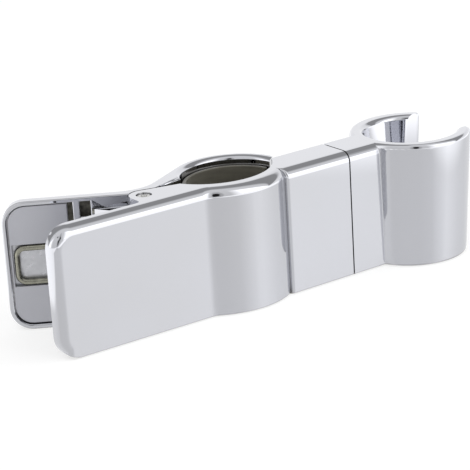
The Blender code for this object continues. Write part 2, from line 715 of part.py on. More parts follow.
def make_swivel_hardware(steel, brass, rubber):
    """Screw, washers, threaded insert and friction ring, all on the swivel axis."""
    place = (0.0, NECK_Y, MID)
    head = rod(HEAD_RADIUS, HEAD_X, HEAD_X + HEAD_THICK)
    screw = add_object("pivot_screw", lay_along_x(head, 0.0, 0.0, 0.0), steel, place)
    shank = rod(SCREW_RADIUS, SCREW_TIP_X, HEAD_X + PLATE, 24)
    combine(screw, lay_along_x(shank, 0.0, 0.0, 0.0), "UNION")
    socket = [polar(KEY_RADIUS, 60.0 * k) for k in range(6)]
    key = prism(socket, HEAD_X + HEAD_THICK - KEY_DEPTH, HEAD_X + 2 * HEAD_THICK)
    combine(screw, lay_along_x(key, 0.0, 0.0, 0.0), "DIFFERENCE")

    hole = SCREW_RADIUS + FIT
    flat = turned([(hole, 0.0), (HEAD_RADIUS, 0.0), (HEAD_RADIUS, FLAT_THICK),
                   (hole, FLAT_THICK)])
    add_object("flat_washer", lay_along_x(flat, 0.0, 0.0, 0.0), steel, (FLAT_X, NECK_Y, MID))

    wave = turned([(hole, 0.0), (HEAD_RADIUS, 0.0), (HEAD_RADIUS, WAVE_SHEET),
                   (hole, WAVE_SHEET)], 36)
    swing = (WAVE_THICK - WAVE_SHEET) / 2
    for vert in wave.verts:
        vert.co.z += swing * (1 + cos(3 * atan2(vert.co.y, vert.co.x)))
    add_object("wave_washer", lay_along_x(wave, 0.0, 0.0, 0.0), steel, (WAVE_X, NECK_Y, MID))

    groove = INSERT_RADIUS - FIT
    third = INSERT_LENGTH / 3
    insert = turned([(hole, 0.0), (INSERT_RADIUS, 0.0), (INSERT_RADIUS, third), (groove, third),
                     (groove, 2 * third), (INSERT_RADIUS, 2 * third),
                     (INSERT_RADIUS, INSERT_LENGTH), (hole, INSERT_LENGTH)], 24)
    add_object("threaded_insert", lay_along_x(insert, 0.0, 0.0, 0.0), brass,
               (INSERT_X, NECK_Y, MID))

    inner = SPIGOT_RADIUS + FIT
    middle = (inner + RING_RADIUS) / 2
    width = (RING_RADIUS - inner) / 2
    section = [(middle + width * cos(k * pi / 4), RING_THICK / 2 * (1 + sin(k * pi / 4)))
               for k in range(8)]
    ring = turned(section, 28)
    add_object("friction_ring", lay_along_x(ring, 0.0, 0.0, 0.0), rubber,
               (SEAM_X - RING_THICK, NECK_Y, MID))


def make_screw_cap(finish, holder):
    """Round plug pressed in over the screw's head, inside the cup."""
    dish = CAP_THICK / 3
    bm = turned([(0.0, 0.0), (HEAD_BORE - FIT, 0.0), (HEAD_BORE - FIT, CAP_THICK - dish),
                 (HEAD_BORE - FIT - dish, CAP_THICK), (0.0, CAP_THICK)], 28)
    bmesh.ops.remove_doubles(bm, verts=bm.verts, dist=1e-6)
    bmesh.ops.dissolve_degenerate(bm, edges=bm.edges, dist=1e-7)
    cap = add_object("screw_cap", lay_along_x(bm, 0.0, 0.0, 0.0), finish,
                     (CAP_X - SEAM_X, 0.0, 0.0))
    cap.parent = holder


def build():
    """Make every piece of the slider."""
    for old in list(bpy.data.objects):
        bpy.data.objects.remove(old)
    chrome = material("chromed_plastic", (0.80, 0.80, 0.82), 0.08, 1.0)
    panel = material("panel_plastic", (0.62, 0.62, 0.65), 0.22, 0.9)
    grip = material("grip_liner", (0.13, 0.12, 0.10), 0.6, 0.0)
    wire = material("nickel_wire", (0.55, 0.53, 0.46), 0.3, 1.0)
    steel = material("stainless_steel", (0.60, 0.60, 0.60), 0.25, 1.0)
    brass = material("brass", (0.72, 0.55, 0.26), 0.3, 1.0)
    rubber = material("black_rubber", (0.02, 0.02, 0.02), 0.7, 0.0)
    make_front_arm(chrome)
    make_front_panel(panel)
    lever = make_rear_lever(chrome)
    make_rear_panel(panel, lever)
    make_liners(grip, lever)
    make_hinge_pin(steel)
    make_spring(wire)
    holder = make_holder(chrome)
    make_swivel_hardware(steel, brass, rubber)
    make_screw_cap(chrome, holder)


build()
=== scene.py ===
from math import asin, atan2, cos, pi, radians, sin
import bmesh
import bpy
from mathutils import Matrix, Vector


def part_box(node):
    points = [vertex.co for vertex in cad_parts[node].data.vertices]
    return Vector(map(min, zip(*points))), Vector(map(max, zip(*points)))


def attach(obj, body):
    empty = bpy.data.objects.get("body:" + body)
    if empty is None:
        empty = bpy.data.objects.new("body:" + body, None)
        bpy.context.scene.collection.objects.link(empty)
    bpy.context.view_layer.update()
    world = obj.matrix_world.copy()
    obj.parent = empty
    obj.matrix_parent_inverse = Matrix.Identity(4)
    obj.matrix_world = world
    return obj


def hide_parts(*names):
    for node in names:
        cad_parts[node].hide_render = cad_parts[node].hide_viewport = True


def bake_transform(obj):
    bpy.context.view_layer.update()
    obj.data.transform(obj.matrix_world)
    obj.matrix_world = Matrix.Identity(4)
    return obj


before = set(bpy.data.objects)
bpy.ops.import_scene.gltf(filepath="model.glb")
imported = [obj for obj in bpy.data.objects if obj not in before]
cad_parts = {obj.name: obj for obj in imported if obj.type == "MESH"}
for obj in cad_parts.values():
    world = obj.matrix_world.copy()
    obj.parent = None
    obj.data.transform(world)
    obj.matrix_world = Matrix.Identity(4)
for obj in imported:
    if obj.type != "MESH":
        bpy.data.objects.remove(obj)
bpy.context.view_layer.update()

# The camera stands to the left of the front arm and looks down on it, as in the photograph.
# Its lens is long, so the upright edges stay nearly parallel.
IMAGE_SIDE = 470
FOCAL_PIXELS = 2004.15
AZIMUTH = radians(-34.84)
ELEVATION = radians(19.17)
ROLL = radians(-3.59)
DISTANCE = 0.54364
TARGET = Vector((0.00669, 0.0, 0.01356))
towards_camera = Vector((sin(AZIMUTH), -cos(AZIMUTH), 0.0))
back = towards_camera * cos(ELEVATION) + Vector((0.0, 0.0, sin(ELEVATION)))
level_right = Vector((cos(AZIMUTH), sin(AZIMUTH), 0.0))
level_up = back.cross(level_right)
right = level_right * cos(ROLL) + level_up * sin(ROLL)
up = level_up * cos(ROLL) - level_right * sin(ROLL)
lens = bpy.data.cameras.new("camera")
lens.sensor_width = 36.0
lens.lens = lens.sensor_width * FOCAL_PIXELS / IMAGE_SIDE
lens.clip_end = 10.0
camera = bpy.data.objects.new("camera", lens)
camera.matrix_world = Matrix.Translation(TARGET + back * DISTANCE) @ Matrix(
    (right, up, back)).transposed().to_4x4()
bpy.context.scene.collection.objects.link(camera)
bpy.context.scene.camera = camera

# The studio is a white room with a grey ceiling. Long soft light boxes hang to the left and
# the right of the camera, which itself is a small dark spot. The camera sees plain white, and
# only the slider shows the rest.
bpy.context.scene.view_settings.view_transform = "Standard"


def node(tree, kind, **settings):
    """Add a node and set its properties, then its input sockets by name."""
    made = tree.nodes.new(kind)
    for key, value in settings.items():
        if key in made.inputs:
            made.inputs[key].default_value = value
        else:
            setattr(made, key, value)
    return made


def ramp(tree, source, stops):
    """A colour ramp through grey levels or colours at places from 0 to 1."""
    made = tree.nodes.new("ShaderNodeValToRGB")
    elements = made.color_ramp.elements
    while len(elements) < len(stops):
        elements.new(0.5)
    for element, (place, colour) in zip(elements, stops):
        element.position = place
        if isinstance(colour, (int, float)):
            colour = (colour, colour, colour)
        element.color = (*colour, 1.0)
    tree.links.new(source, made.inputs["Fac"])
    return made.outputs["Color"]


def blended(tree, factor, first, second):
    """Mix two colours by a factor that is a socket."""
    made = node(tree, "ShaderNodeMix", data_type="RGBA")
    tree.links.new(factor, made.inputs["Factor"])
    for name, colour in (("A", first), ("B", second)):
        if isinstance(colour, tuple):
            made.inputs[name].default_value = colour
        else:
            tree.links.new(colour, made.inputs[name])
    return made.outputs["Result"]


def along(tree, direction, way):
    """How far a direction runs along another one."""
    made = node(tree, "ShaderNodeVectorMath", operation="DOT_PRODUCT")
    tree.links.new(direction, made.inputs[0])
    made.inputs[1].default_value = way
    return made.outputs["Value"]


def turned(tree, rise, run, whole, start):
    """The angle of rise over run as a share of a whole turn, plus a start."""
    angle = node(tree, "ShaderNodeMath", operation="ARCTAN2")
    tree.links.new(rise, angle.inputs[0])
    tree.links.new(run, angle.inputs[1])
    made = node(tree, "ShaderNodeMath", operation="MULTIPLY_ADD")
    tree.links.new(angle.outputs["Value"], made.inputs[0])
    made.inputs[1].default_value = 1.0 / whole
    made.inputs[2].default_value = start
    return made.outputs["Value"]


world = bpy.data.worlds.new("studio")
world.use_nodes = True
room = world.node_tree
direction = node(room, "ShaderNodeTexCoord").outputs["Generated"]
level = along(room, direction, (0.0, 0.0, 1.0))
forward = along(room, direction, towards_camera)
sideways = along(room, direction, level_right)
# height: 0 is level in front, 0.5 straight up and 1 level behind
height = turned(room, level, forward, pi, 0.0)
# around: 0.5 is the side where the camera stands, and it grows to the right of the camera
around = turned(room, sideways, forward, 2 * pi, 0.5)
BRIGHTEST = 2.0
LIT_CEILING = ((0.0, 0.50), (0.01, 0.95), (0.31, 0.95), (0.345, 0.48), (0.47, 0.46),
               (0.55, 0.19), (0.77, 0.19), (0.82, 0.54), (1.0, 0.60))
PLAIN_CEILING = ((0.0, 0.40), (0.30, 0.44), (0.47, 0.46),
                 (0.55, 0.19), (0.77, 0.19), (0.82, 0.54), (1.0, 0.60))
LIGHT_BOXES = ((0.30, 1.0), (0.36, 0.0), (0.58, 0.0), (0.63, 1.0))
SWEEP = ((0.0, 0.60), (0.14, 0.50), (0.28, 0.46), (0.345, 0.42), (0.38, 0.355),
         (0.54, 0.36), (0.60, 0.39), (0.64, 0.47), (0.695, 0.58),
         (0.72, 0.56), (0.785, 0.48), (0.845, 0.44), (0.92, 0.44), (1.0, 0.66))
HORIZON_LOW = -0.28
HORIZON_HIGH = 0.03
CAMERA_MIDDLE = (0.517, 0.133, 0.0)
CAMERA_REACH = (0.036, 0.222, 1.0)
CAMERA_SHADE = ((0.42, 0.02), (0.5, 0.60), (0.85, 0.75), (1.0, 1.0))
boxes = ramp(room, around, LIGHT_BOXES)
ceiling = blended(room, boxes, ramp(room, height, PLAIN_CEILING), ramp(room, height, LIT_CEILING))
above = node(room, "ShaderNodeMapRange", interpolation_type="SMOOTHSTEP")
above.inputs["From Min"].default_value = HORIZON_LOW
above.inputs["From Max"].default_value = HORIZON_HIGH
room.links.new(level, above.inputs["Value"])
shell = blended(room, above.outputs["Result"], ramp(room, around, SWEEP), ceiling)
place = node(room, "ShaderNodeCombineXYZ")
room.links.new(around, place.inputs["X"])
room.links.new(height, place.inputs["Y"])
offset = node(room, "ShaderNodeVectorMath", operation="SUBTRACT")
room.links.new(place.outputs["Vector"], offset.inputs[0])
offset.inputs[1].default_value = CAMERA_MIDDLE
scaled = node(room, "ShaderNodeVectorMath", operation="DIVIDE")
room.links.new(offset.outputs["Vector"], scaled.inputs[0])
scaled.inputs[1].default_value = CAMERA_REACH
away = node(room, "ShaderNodeVectorMath", operation="LENGTH")
room.links.new(scaled.outputs["Vector"], away.inputs[0])
spot = ramp(room, away.outputs["Value"], CAMERA_SHADE)
spotted = node(room, "ShaderNodeVectorMath", operation="MULTIPLY")
room.links.new(shell, spotted.inputs[0])
room.links.new(spot, spotted.inputs[1])
strength = node(room, "ShaderNodeVectorMath", operation="SCALE", Scale=BRIGHTEST)
room.links.new(spotted.outputs["Vector"], strength.inputs[0])
seen = node(room, "ShaderNodeLightPath")
walls = blended(room, seen.outputs["Is Camera Ray"], strength.outputs["Vector"],
                (1.0, 1.0, 1.0, 1.0))
room.links.new(walls, room.nodes["Background"].inputs["Color"])
bpy.context.scene.world = world

# The floor is white paper, which keeps the slider's soft shadow. It has a sheen, so the
# It has a sheen, so the metal sees in it both the paper's own white and the room's sweep. Painted
# glow patches to the front right and to the left stand in for reflections; only the metal shows
# them.
FLOOR_DROP = 0.0001
FLOOR_SIDE = 6.0
PAPER = (0.82, 0.82, 0.82, 1.0)
PAPER_IN_METAL = (0.38, 0.38, 0.38, 1.0)
PAPER_GLOW = 0.68
PAPER_SHEEN = 0.7
GLOW_PATCHES = (((0.6, -0.8, 0.0), 0.120, 0.170, 0.6), ((-0.8, 0.6, 0.0), 0.070, 0.085, 0.5))
bpy.ops.object.select_all(action="DESELECT")
bpy.ops.mesh.primitive_plane_add(size=FLOOR_SIDE, location=(0.0, 0.0, -FLOOR_DROP))
floor = bpy.context.object
floor.name = "floor"
paper = bpy.data.materials.new("white_paper")
paper.use_nodes = True
tree = paper.node_tree
tree.nodes.remove(tree.nodes["Principled BSDF"])
matt = node(tree, "ShaderNodeBsdfDiffuse", Color=PAPER)
thin = node(tree, "ShaderNodeBsdfDiffuse", Color=PAPER_IN_METAL)
glow = node(tree, "ShaderNodeEmission", Color=(1.0, 1.0, 1.0, 1.0), Strength=PAPER_GLOW)
white = node(tree, "ShaderNodeAddShader")
tree.links.new(thin.outputs["BSDF"], white.inputs[0])
tree.links.new(glow.outputs["Emission"], white.inputs[1])
seen = node(tree, "ShaderNodeLightPath")
sheen = node(tree, "ShaderNodeMath", operation="MULTIPLY")
tree.links.new(seen.outputs["Is Glossy Ray"], sheen.inputs[0])
sheen.inputs[1].default_value = PAPER_SHEEN
clear = node(tree, "ShaderNodeBsdfTransparent")
lit = node(tree, "ShaderNodeMixShader")
tree.links.new(sheen.outputs["Value"], lit.inputs["Fac"])
tree.links.new(white.outputs["Shader"], lit.inputs[1])
tree.links.new(clear.outputs["BSDF"], lit.inputs[2])
either = node(tree, "ShaderNodeMath", operation="MAXIMUM")
tree.links.new(seen.outputs["Is Camera Ray"], either.inputs[0])
tree.links.new(seen.outputs["Is Glossy Ray"], either.inputs[1])
any_clear = node(tree, "ShaderNodeMath", operation="MAXIMUM")
tree.links.new(either.outputs["Value"], any_clear.inputs[0])
tree.links.new(seen.outputs["Is Transmission Ray"], any_clear.inputs[1])
both = node(tree, "ShaderNodeMixShader")
tree.links.new(any_clear.outputs["Value"], both.inputs["Fac"])
tree.links.new(matt.outputs["BSDF"], both.inputs[1])
tree.links.new(lit.outputs["Shader"], both.inputs[2])
ground = node(tree, "ShaderNodeTexCoord").outputs["Object"]
surface = both.outputs["Shader"]
# painted reflections: each patch glows only for rays reflected off the metal
for way, start, full, strength in GLOW_PATCHES:
    glow_patch = node(tree, "ShaderNodeMapRange", interpolation_type="SMOOTHSTEP")
    glow_patch.inputs["From Min"].default_value = start
    glow_patch.inputs["From Max"].default_value = full
    glow_patch.inputs["To Max"].default_value = strength
    tree.links.new(along(tree, ground, way), glow_patch.inputs["Value"])
    in_metal = node(tree, "ShaderNodeMath", operation="MULTIPLY")
    tree.links.new(glow_patch.outputs["Result"], in_metal.inputs[0])
    tree.links.new(seen.outputs["Is Glossy Ray"], in_metal.inputs[1])
    patch_glow = node(tree, "ShaderNodeEmission", Color=(1.0, 1.0, 1.0, 1.0))
    tree.links.new(in_metal.outputs["Value"], patch_glow.inputs["Strength"])
    with_glow_patch = node(tree, "ShaderNodeAddShader")
    tree.links.new(surface, with_glow_patch.inputs[0])
    tree.links.new(patch_glow.outputs["Emission"], with_glow_patch.inputs[1])
    surface = with_glow_patch.outputs["Shader"]
tree.links.new(surface, tree.nodes["Material Output"].inputs["Surface"])
floor.data.materials.append(paper)

# Two square lamps light the paper and the dull pieces evenly. Polished pieces don't show them.
LAMP_SIDE = 0.5
LAMP_POWER = 1.6
KEY_PLACE = (-0.55, -0.45, 0.75)
FILL_PLACE = (0.60, -0.35, 0.50)
for name, lamp_place in (("key_light", KEY_PLACE), ("fill_light", FILL_PLACE)):
    lamp = bpy.data.lights.new(name, "AREA")
    lamp.shape = "SQUARE"
    lamp.size = LAMP_SIDE
    lamp.energy = LAMP_POWER
    light = bpy.data.objects.new(name, lamp)
    light.location = lamp_place
    light.rotation_euler = (TARGET - Vector(lamp_place)).to_track_quat("-Z", "Y").to_euler()
    light.visible_glossy = False
    bpy.context.scene.collection.objects.link(light)

# The front arm is one ABS moulding: paddle, jaw, hinge lugs and neck. It is plated with
# copper, nickel and bright chrome, which leaves every edge very slightly rounded.
CHROME = (0.605, 0.61, 0.64)
PAINTED_SHADE = (0.13, 0.125, 0.105)
RECESS_REACH = 0.005
PLATED_EDGE = 0.00015
SAME_PLANE = radians(0.5)
QUAD_BEND = radians(25.0)
QUAD_SKEW = radians(80.0)
FLAT_AREA = 0.00015
FLAT_MATCH = cos(radians(0.2))


def coat(name, colour, roughness, metallic):
    """A Principled material, and the tree, shader and object coordinates to build on."""
    made = bpy.data.materials.new(name)
    made.use_nodes = True
    made.diffuse_color = (*colour, 1.0)
    shader = made.node_tree.nodes["Principled BSDF"]
    shader.inputs["Base Color"].default_value = (*colour, 1.0)
    shader.inputs["Roughness"].default_value = roughness
    shader.inputs["Metallic"].default_value = metallic
    place = made.node_tree.nodes.new("ShaderNodeTexCoord").outputs["Object"]
    return made, made.node_tree, shader, place


def clouds(tree, place, scale, detail=2.0, stretch=(1.0, 1.0, 1.0)):
    """Soft noise at a scale per metre, and stretched along an axis if asked."""
    mapping = node(tree, "ShaderNodeMapping", Scale=stretch)
    tree.links.new(place, mapping.inputs["Vector"])
    made = node(tree, "ShaderNodeTexNoise", Scale=scale, Detail=detail)
    tree.links.new(mapping.outputs["Vector"], made.inputs["Vector"])
    return made.outputs["Fac"]


def shades(tree, shader, source, dark, light, low=0.3, high=0.7):
    """Let the colour wander between two tones."""
    tree.links.new(ramp(tree, source, ((low, dark), (high, light))), shader.inputs["Base Color"])


def haze(tree, shader, source, low, high):
    """Let the roughness wander between two values."""
    spread = node(tree, "ShaderNodeMapRange")
    spread.inputs["From Min"].default_value = 0.3
    spread.inputs["From Max"].default_value = 0.7
    spread.inputs["To Min"].default_value = low
    spread.inputs["To Max"].default_value = high
    tree.links.new(source, spread.inputs["Value"])
    tree.links.new(spread.outputs["Result"], shader.inputs["Roughness"])


def relief(tree, shader, source, depth, strength=1.0):
    """Raise the surface by a pattern, to a depth in metres."""
    bump = node(tree, "ShaderNodeBump", Distance=depth, Strength=strength)
    tree.links.new(source, bump.inputs["Height"])
    tree.links.new(bump.outputs["Normal"], shader.inputs["Normal"])


def bright_chrome():
    """Bright chrome: a mirror that waves a little. Deep in recesses its colour is painted darker,
    a painted shade.
    """
    made, tree, shader, place = coat("bright_chrome", CHROME, 0.04, 1.0)
    warm = tuple(value * 0.985 for value in CHROME)
    cool = (CHROME[0] * 1.01, CHROME[1] * 1.015, CHROME[2] * 1.03)
    colour = ramp(tree, clouds(tree, place, 26.0), ((0.3, warm), (0.7, cool)))
    # painted shade: by ambient occlusion the colour turns to a dark tone deep in recesses
    recess = node(tree, "ShaderNodeAmbientOcclusion", samples=12, Distance=RECESS_REACH)
    out_of_shade = ramp(tree, recess.outputs["AO"], ((0.10, 0.0), (0.45, 1.0)))
    plated = blended(tree, out_of_shade, (*PAINTED_SHADE, 1.0), colour)
    tree.links.new(plated, shader.inputs["Base Color"])
    haze(tree, shader, clouds(tree, place, 340.0, 5.0), 0.03, 0.065)
    relief(tree, shader, clouds(tree, place, 55.0, 1.0), 0.00001)
    return made


def copied(name, source):
    """A merged copy of a CAD node's mesh, which is loose triangles, as an object to work on."""
    bpy.ops.object.select_all(action="DESELECT")
    piece = bpy.data.objects.new(name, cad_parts[source].data.copy())
    bpy.context.scene.collection.objects.link(piece)
    piece.data.materials.clear()
    bpy.context.view_layer.objects.active = piece
    piece.select_set(True)
    bpy.ops.object.mode_set(mode="EDIT")
    bpy.ops.mesh.select_all(action="SELECT")
    bpy.ops.mesh.remove_doubles(threshold=1e-6)
    bpy.ops.mesh.dissolve_limited(angle_limit=SAME_PLANE)
    bpy.ops.mesh.tris_convert_to_quads(face_threshold=QUAD_BEND, shape_threshold=QUAD_SKEW)
    bpy.ops.object.mode_set(mode="OBJECT")
    return piece


def soften(piece, width, angle=40.0, segments=2):
    """Round the sharp edges by a width and shade the rest smooth."""
    bevel = piece.modifiers.new("edges", "BEVEL")
    bevel.width = width
    bevel.segments = segments
    bevel.limit_method = "ANGLE"
    bevel.angle_limit = radians(angle)
    bevel.miter_outer = "MITER_ARC"
    bevel.harden_normals = False
    bpy.context.view_layer.objects.active = piece
    bpy.ops.object.modifier_apply(modifier=bevel.name)
    smooth(piece, angle)


def smooth(piece, angle=30.0):
    """Shade a piece smooth except across sharp edges, and keep its large faces flat."""
    bpy.ops.object.select_all(action="DESELECT")
    bpy.context.view_layer.objects.active = piece
    piece.select_set(True)
    bpy.ops.object.shade_smooth_by_angle(angle=radians(angle))
    weighted = piece.modifiers.new("normals", "WEIGHTED_NORMAL")
    weighted.keep_sharp = True
    weighted.mode = "FACE_AREA_WITH_ANGLE"
    bpy.ops.object.modifier_apply(modifier=weighted.name)
    faces = piece.data.polygons
    flat = [face.normal.copy() for face in faces if face.area > FLAT_AREA]
    bpy.ops.object.mode_set(mode="EDIT")
    bpy.ops.mesh.select_mode(type="FACE")
    bpy.ops.mesh.select_all(action="DESELECT")
    bpy.ops.object.mode_set(mode="OBJECT")
    for face in piece.data.polygons:
        face.select = any(face.normal.dot(normal) > FLAT_MATCH for normal in flat)
    bpy.ops.object.mode_set(mode="EDIT")
    bpy.ops.mesh.set_normals_from_faces(keep_sharp=True)
    bpy.ops.mesh.select_all(action="DESELECT")
    bpy.ops.object.mode_set(mode="OBJECT")


def fit(piece, finish, body, slot, *nodes):
    """Give a finished piece its material, its body and the nodes that it stands for."""
    piece.data.materials.clear()
    piece.data.materials.append(finish)
    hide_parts(*nodes)
    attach(piece, body)


chrome = bright_chrome()
front = copied("front_arm_plated", "front_arm")
soften(front, PLATED_EDGE)
fit(front, chrome, "arm", "chromed_body", "front_arm")

# A thin moulded panel is glued into the hollow of the front paddle. It is satin plated,
# so it shows its surroundings only as soft grey.
SATIN = (0.50, 0.505, 0.545)
PANEL_EDGE = 0.0002


def satin_plate():
    """Satin nickel-chrome on plastic, with an even, fine grain."""
    made, tree, shader, place = coat("satin_plate", SATIN, 0.3, 0.7)
    shades(tree, shader, clouds(tree, place, 40.0), tuple(v * 0.96 for v in SATIN),
           tuple(min(1.0, v * 1.03) for v in SATIN))
    haze(tree, shader, clouds(tree, place, 1500.0, 4.0), 0.32, 0.40)
    relief(tree, shader, clouds(tree, place, 3000.0, 3.0), 0.000001)
    return made


satin = satin_plate()
front_panel = copied("front_panel_satin", "front_inner_panel")
soften(front_panel, PANEL_EDGE)
fit(front_panel, satin, "arm", "inner_panel", "front_inner_panel")

# Both jaws are lined with a strip of soft rubber, which grips the rail. The strips are glued
# in, and stop short of the jaws' upper and lower edges.
RUBBER = (0.105, 0.099, 0.078)
STRIP_THICK = 0.0010
STRIP_EDGE = 0.00025
STRIP_STEP = 2.0


def liner_rubber():
    """Soft olive-grey rubber with a slight gloss and faint flow lines round the strip."""
    made, tree, shader, place = coat("liner_rubber", RUBBER, 0.4, 0.0)
    flow = clouds(tree, place, 900.0, 4.0, (0.12, 0.12, 1.0))
    shades(tree, shader, flow, tuple(v * 0.85 for v in RUBBER), tuple(v * 1.2 for v in RUBBER))
    haze(tree, shader, clouds(tree, place, 900.0, 3.0), 0.34, 0.46)
    relief(tree, shader, flow, 0.00001)
    shader.inputs["Sheen Weight"].default_value = 0.15
    return made


def liner_strip(name, source, centre, radius, start, end):
    """A liner: a thin plate spun round a jaw, with its edges rounded."""
    low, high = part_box(source)
    turn = radians(end - start)
    bpy.ops.object.select_all(action="DESELECT")
    bpy.ops.mesh.primitive_plane_add(size=1.0, rotation=(pi / 2, 0.0, 0.0))
    strip = bpy.context.object
    strip.name = name
    strip.scale = (STRIP_THICK, high[2] - low[2], 1.0)
    bpy.ops.object.transform_apply(location=True, rotation=True, scale=True)
    strip.location = (radius - STRIP_THICK / 2, 0.0, (high[2] + low[2]) / 2)
    bpy.ops.object.transform_apply(location=True, rotation=True, scale=True)
    bpy.ops.object.mode_set(mode="EDIT")
    bpy.ops.mesh.select_all(action="SELECT")
    bpy.ops.mesh.spin(steps=round(abs(end - start) / STRIP_STEP), angle=-turn,
                      center=(0.0, 0.0, 0.0), axis=(0.0, 0.0, 1.0))
    bpy.ops.mesh.select_all(action="SELECT")
    bpy.ops.mesh.normals_make_consistent(inside=False)
    bpy.ops.object.mode_set(mode="OBJECT")
    strip.data.transform(Matrix.Translation((centre[0], centre[1], 0.0))
                         @ Matrix.Rotation(radians(start), 4, "Z"))
    soften(strip, STRIP_EDGE, 50.0, 3)
    return strip


rubber = liner_rubber()
FRONT_LINER_RADIUS = 0.01635
FRONT_LINER_START = -31.7
FRONT_LINER_END = -146.6
front_liner = liner_strip("front_liner_strip", "front_grip_liner", (0.0, 0.0),
                           FRONT_LINER_RADIUS, FRONT_LINER_START, FRONT_LINER_END)
fit(front_liner, rubber, "arm", "grip_liner", "front_grip_liner")

# The rear lever is the second plated moulding: paddle, two hinge knuckles and the rear
# jaw, which closes on the rail behind the front one. The floors of its deep slots get a painted
# shade.
SPREAD = radians(32.1)
RIM_LEVEL = 0.0017
RIM_WIDTH = 0.0004
RIM_SEGMENTS = 4
RIM_SLACK = 0.00002
RIM_TURN = radians(60.0)
FLOOR_LEVEL = 0.0039
PANEL_REACH = 0.0199


def middle_of(source):
    """The middle and the size of a CAD node's box."""
    low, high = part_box(source)
    return (Vector(low) + Vector(high)) / 2, Vector(high) - Vector(low)


def slot_shade(way, start):
    """A painted shade for the deep slots: a dark mottled tone; past a start there is chrome."""
    made, tree, shader, place = coat("slot_shade", PAINTED_SHADE, 0.3, 1.0)
    shade_mottle = ramp(tree, clouds(tree, place, 700.0, 4.0),
                  ((0.3, tuple(v * 0.4 for v in PAINTED_SHADE)), (0.7, tuple(v * 1.3 for v in PAINTED_SHADE))))
    past = node(tree, "ShaderNodeMath", operation="GREATER_THAN")
    past.inputs[1].default_value = start
    tree.links.new(along(tree, place, way), past.inputs[0])
    tree.links.new(blended(tree, past.outputs["Value"], shade_mottle, (*CHROME, 1.0)),
                   shader.inputs["Base Color"])
    haze(tree, shader, clouds(tree, place, 900.0, 3.0), 0.25, 0.5)
    return made


def round_rim(piece, width, level, way):
    """Round the edges of a flat rim that faces a way, at its level along that way."""
    bpy.ops.object.select_all(action="DESELECT")
    bpy.context.view_layer.objects.active = piece
    piece.select_set(True)
    bpy.ops.object.mode_set(mode="EDIT")
    bpy.ops.mesh.select_mode(type="EDGE")
    shape = bmesh.from_edit_mesh(piece.data)
    for edge in shape.edges:
        flat = [face for face in edge.link_faces if face.normal.dot(way) > 0.999]
        here = all(abs(vert.co.dot(way) - level) < RIM_SLACK for vert in edge.verts)
        edge.select_set(len(flat) == 1 and here and edge.calc_face_angle(0.0) > RIM_TURN)
    bmesh.update_edit_mesh(piece.data)
    bpy.ops.mesh.bevel(offset=width, segments=RIM_SEGMENTS, affect="EDGES",
                       clamp_overlap=False)
    bpy.ops.object.mode_set(mode="OBJECT")


def shade_floor(piece, finish, low, high, way):
    """Give the floor of a hollow, which faces a way between two levels, its own finish, here the
    painted shade.
    """
    piece.data.materials.append(finish)
    for face in piece.data.polygons:
        if face.normal.dot(way) > 0.9 and low < face.center.dot(way) < high:
            face.material_index = 1


pin_middle, pin_size = middle_of("hinge_pin")
inwards = Vector((-sin(SPREAD), -cos(SPREAD), 0.0))
pin_level = pin_middle.dot(inwards)
rear = copied("rear_lever_plated", "rear_lever")
round_rim(rear, RIM_WIDTH, pin_level - RIM_LEVEL, inwards)
soften(rear, PLATED_EDGE)
fit(rear, chrome, "lever", "chromed_body", "rear_lever")
outwards = Vector((-cos(SPREAD), sin(SPREAD), 0.0))
# painted shade: the floors of the lever's deep slots are coloured dark and mottled
dark = slot_shade(outwards, pin_middle.dot(outwards) + PANEL_REACH)
shade_floor(rear, dark, pin_level - FLOOR_LEVEL - RIM_WIDTH, pin_level - FLOOR_LEVEL + RIM_WIDTH,
           inwards)

# The rear paddle has the same satin-plated panel, glued into its hollow. It is cut out
# round the spring's loop, with finer edges than the front one.
REAR_PANEL_EDGE = 0.0001
rear_panel = copied("rear_panel_satin", "rear_inner_panel")
soften(rear_panel, REAR_PANEL_EDGE)
fit(rear_panel, satin, "lever", "inner_panel", "rear_inner_panel")

# The rear jaw's strip of the same soft rubber. It grips the rail from behind and is glued
# in like the front one.
REAR_JAW = (0.0011, -0.00875)
REAR_LINER_RADIUS = 0.0135
REAR_LINER_START = 11.0
REAR_LINER_END = 152.5
rear_liner = liner_strip("rear_liner_strip", "rear_grip_liner", REAR_JAW,
                          REAR_LINER_RADIUS, REAR_LINER_START, REAR_LINER_END)
fit(rear_liner, rubber, "lever", "grip_liner", "rear_grip_liner")

# The hinge pin is ground stainless rod, pressed tight into both lugs. Its ends are chamfered
# and centre drilled.
STEEL = (0.56, 0.56, 0.55)
PIN_SWELL = 0.0002
PIN_CHAMFER = 0.0002
PIN_DIMPLE = 0.0004
PIN_SIDES = 48


def ground_steel(name, stretch):
    """Ground steel: fine lines round or along the piece."""
    made, tree, shader, place = coat(name, STEEL, 0.25, 1.0)
    lines = clouds(tree, place, 2600.0, 4.0, stretch)
    shades(tree, shader, lines, tuple(v * 0.86 for v in STEEL), tuple(v * 1.08 for v in STEEL))
    haze(tree, shader, lines, 0.2, 0.34)
    relief(tree, shader, lines, 0.000008)
    return made


